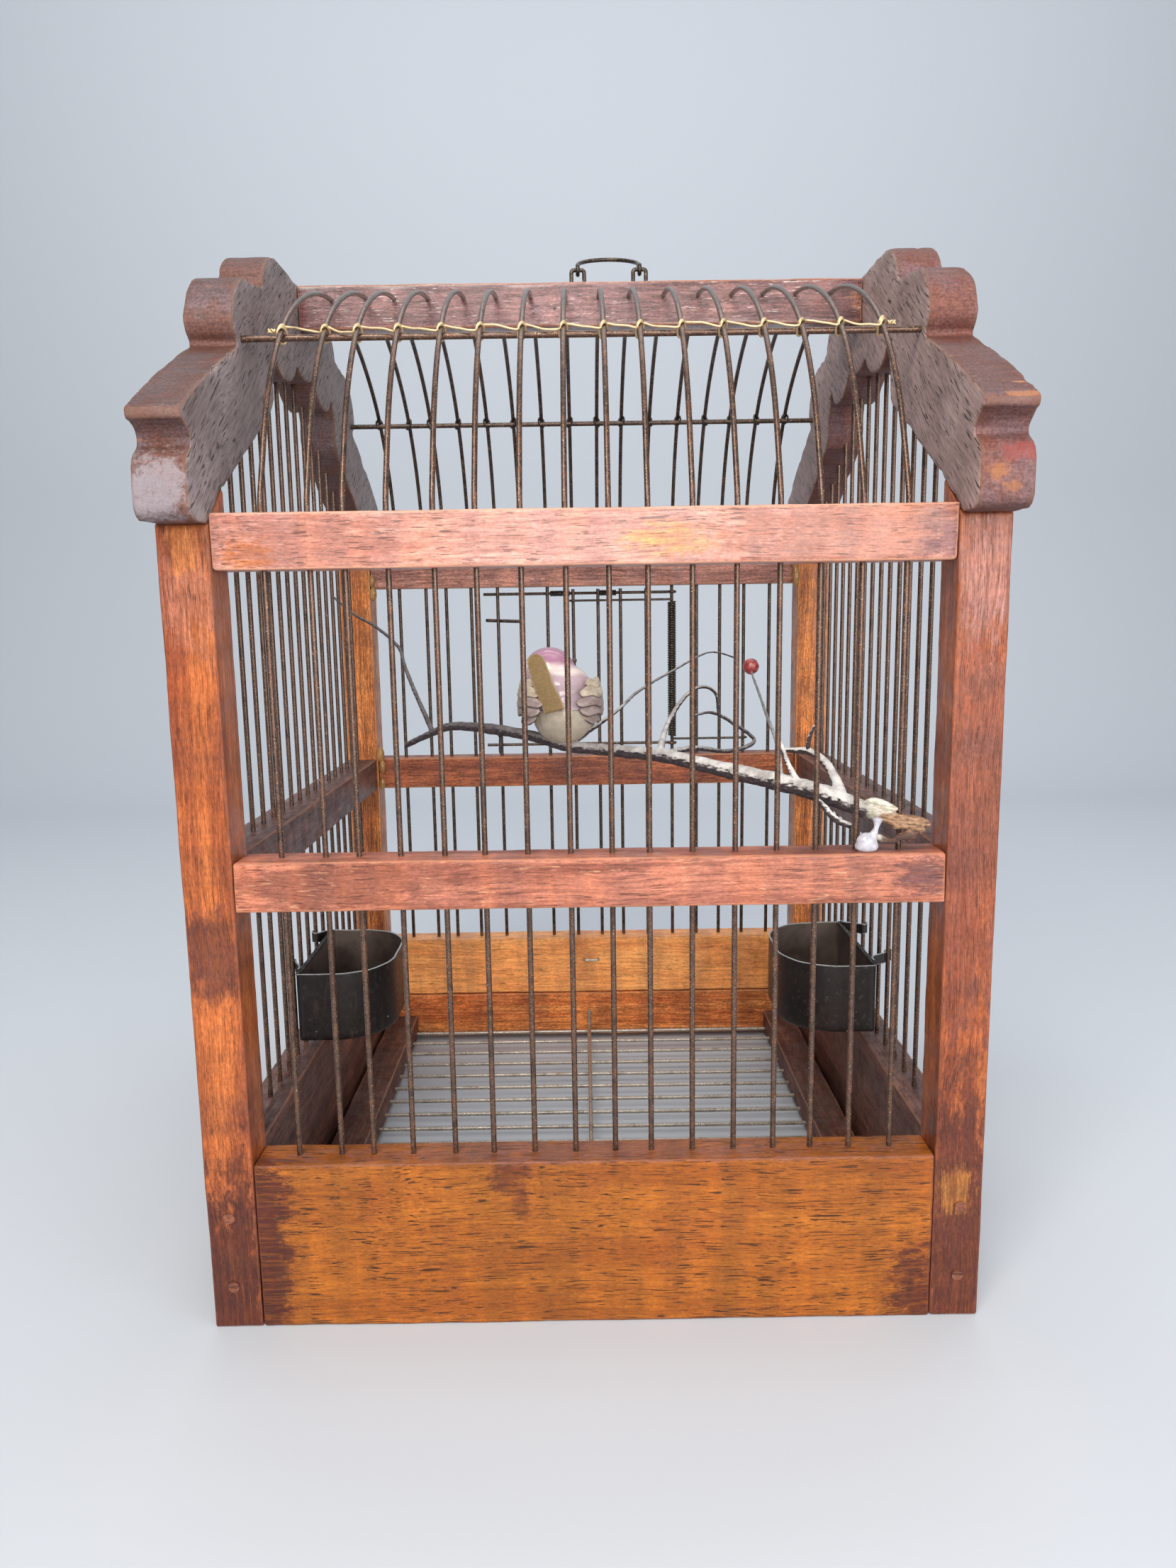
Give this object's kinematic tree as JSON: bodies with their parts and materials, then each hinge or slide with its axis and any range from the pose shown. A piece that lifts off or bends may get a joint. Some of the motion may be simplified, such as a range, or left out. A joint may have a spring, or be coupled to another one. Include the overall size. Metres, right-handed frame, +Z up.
{
  "type": "bird cage",
  "caption": "Table-top wooden and wire bird cage with a domed wire roof, scalloped gables, back door, feeder cups and a perch.",
  "frame": {"origin": "middle of the footprint on the surface it stands on", "axes": "+Z up, -Y towards the viewer's front side, +X to the right seen from the front"},
  "size_m": [0.3, 0.3402, 0.4475],
  "materials": {
    "wood_salmon": "worn, matt to satin",
    "wood_red": "worn, matt to satin",
    "wood_golden": "worn, matt to satin",
    "wood_orange": "worn, matt to satin",
    "wood_post": "worn, matt to satin",
    "wood_dark": "worn, matt to satin",
    "wood_back_rail": "worn, matt to satin",
    "wood_grey": "worn, matt to satin",
    "wood_ridge": "worn, matt to satin",
    "wood_peg": "worn, matt to satin",
    "wood_raw": "worn, matt to satin",
    "wire_rust": "rusty drawn wire",
    "wire_zinc": "dull galvanised wire",
    "steel_dark": "dark bronze-brown steel",
    "spring_steel": "dark spring wire",
    "lashing": "tarnished soft wire",
    "tie_dark": "dark soft wire",
    "cup_sheet": "dark weathered sheet metal",
    "clip_zinc": "weathered zinc",
    "bark": "bare bark, chalky on top",
    "glue": "milky clear hot glue",
    "bird_body": "glossy painted",
    "bird_wing": "painted in layers",
    "tail_card": "raw card",
    "berry_red": "glossy"
  },
  "bodies": {
    "frame": {"corner_post_front_left": "wood_post", "corner_post_front_right": "wood_post", "corner_post_back_left": "wood_orange", "corner_post_back_right": "wood_orange", "post_pegs": "wood_peg", "front_base_board": "wood_golden", "back_base_board": "wood_orange", "left_base_board": "wood_dark", "right_base_board": "wood_dark", "front_mid_rail": "wood_red", "back_mid_rail": "wood_back_rail", "left_mid_rail": "wood_dark", "right_mid_rail": "wood_dark", "front_upper_rail": "wood_salmon", "back_upper_rail": "wood_back_rail", "gable_left": "wood_grey", "gable_right": "wood_grey", "ridge_beam": "wood_ridge", "front_wires": "wire_rust", "back_wires": "wire_rust", "left_wires": "wire_rust", "right_wires": "wire_rust", "front_cross_rod": "wire_rust", "back_cross_rod": "wire_rust", "front_lashing": "lashing", "back_ties": "tie_dark", "bail_staples": "steel_dark", "door_spring_low_leg": "spring_steel", "floor_ledges": "wood_dark", "board_staple": "wire_zinc", "perch_branch": "bark", "glue_blob": "glue", "bird_body": "bird_body", "bird_tail": "tail_card", "bird_wing_left": "bird_wing", "bird_wing_right": "bird_wing", "berry": "berry_red"},
    "door": {"door_cross_wires": "wire_rust", "door_uprights": "wire_rust", "door_header_wrap": "tie_dark", "door_spring_coil": "spring_steel", "door_spring_top_leg": "spring_steel"},
    "handle": {"bail": "steel_dark"},
    "cup_left": {"feeder_cup_left": "cup_sheet", "cup_clips_left": "clip_zinc"},
    "cup_right": {"feeder_cup_right": "cup_sheet", "cup_clips_right": "clip_zinc"},
    "grate": {"floor_runner_left": "wood_raw", "floor_runner_right": "wood_raw", "floor_wires": "wire_zinc", "floor_centre_wire": "wire_zinc", "floor_end_board": "wood_orange"}
  },
  "joints": [
    {"name": "door_hinge", "type": "hinge", "parent": "frame", "child": "door", "pos_m": [0.0545, 0.1425, 0.24], "axis": [0, 0, -1], "range_deg": [0, 100], "stiffness_Nm_per_rad": 0.006, "springref_deg": -28.65},
    {"name": "handle_fold", "type": "hinge", "parent": "frame", "child": "handle", "pos_m": [0.0135, 0, 0.4345], "axis": [1, 0, 0], "range_deg": [-45, 173]},
    {"name": "cup_left_lift", "type": "slide", "parent": "frame", "child": "cup_left", "axis": [0, 0, 1], "range_m": [-0.01, 0.04]},
    {"name": "cup_right_lift", "type": "slide", "parent": "frame", "child": "cup_right", "axis": [0, 0, 1], "range_m": [-0.01, 0.04]},
    {"name": "grate_slide", "type": "slide", "parent": "frame", "child": "grate", "axis": [0, 1, 0], "range_m": [0, 0.26]}
  ]
}
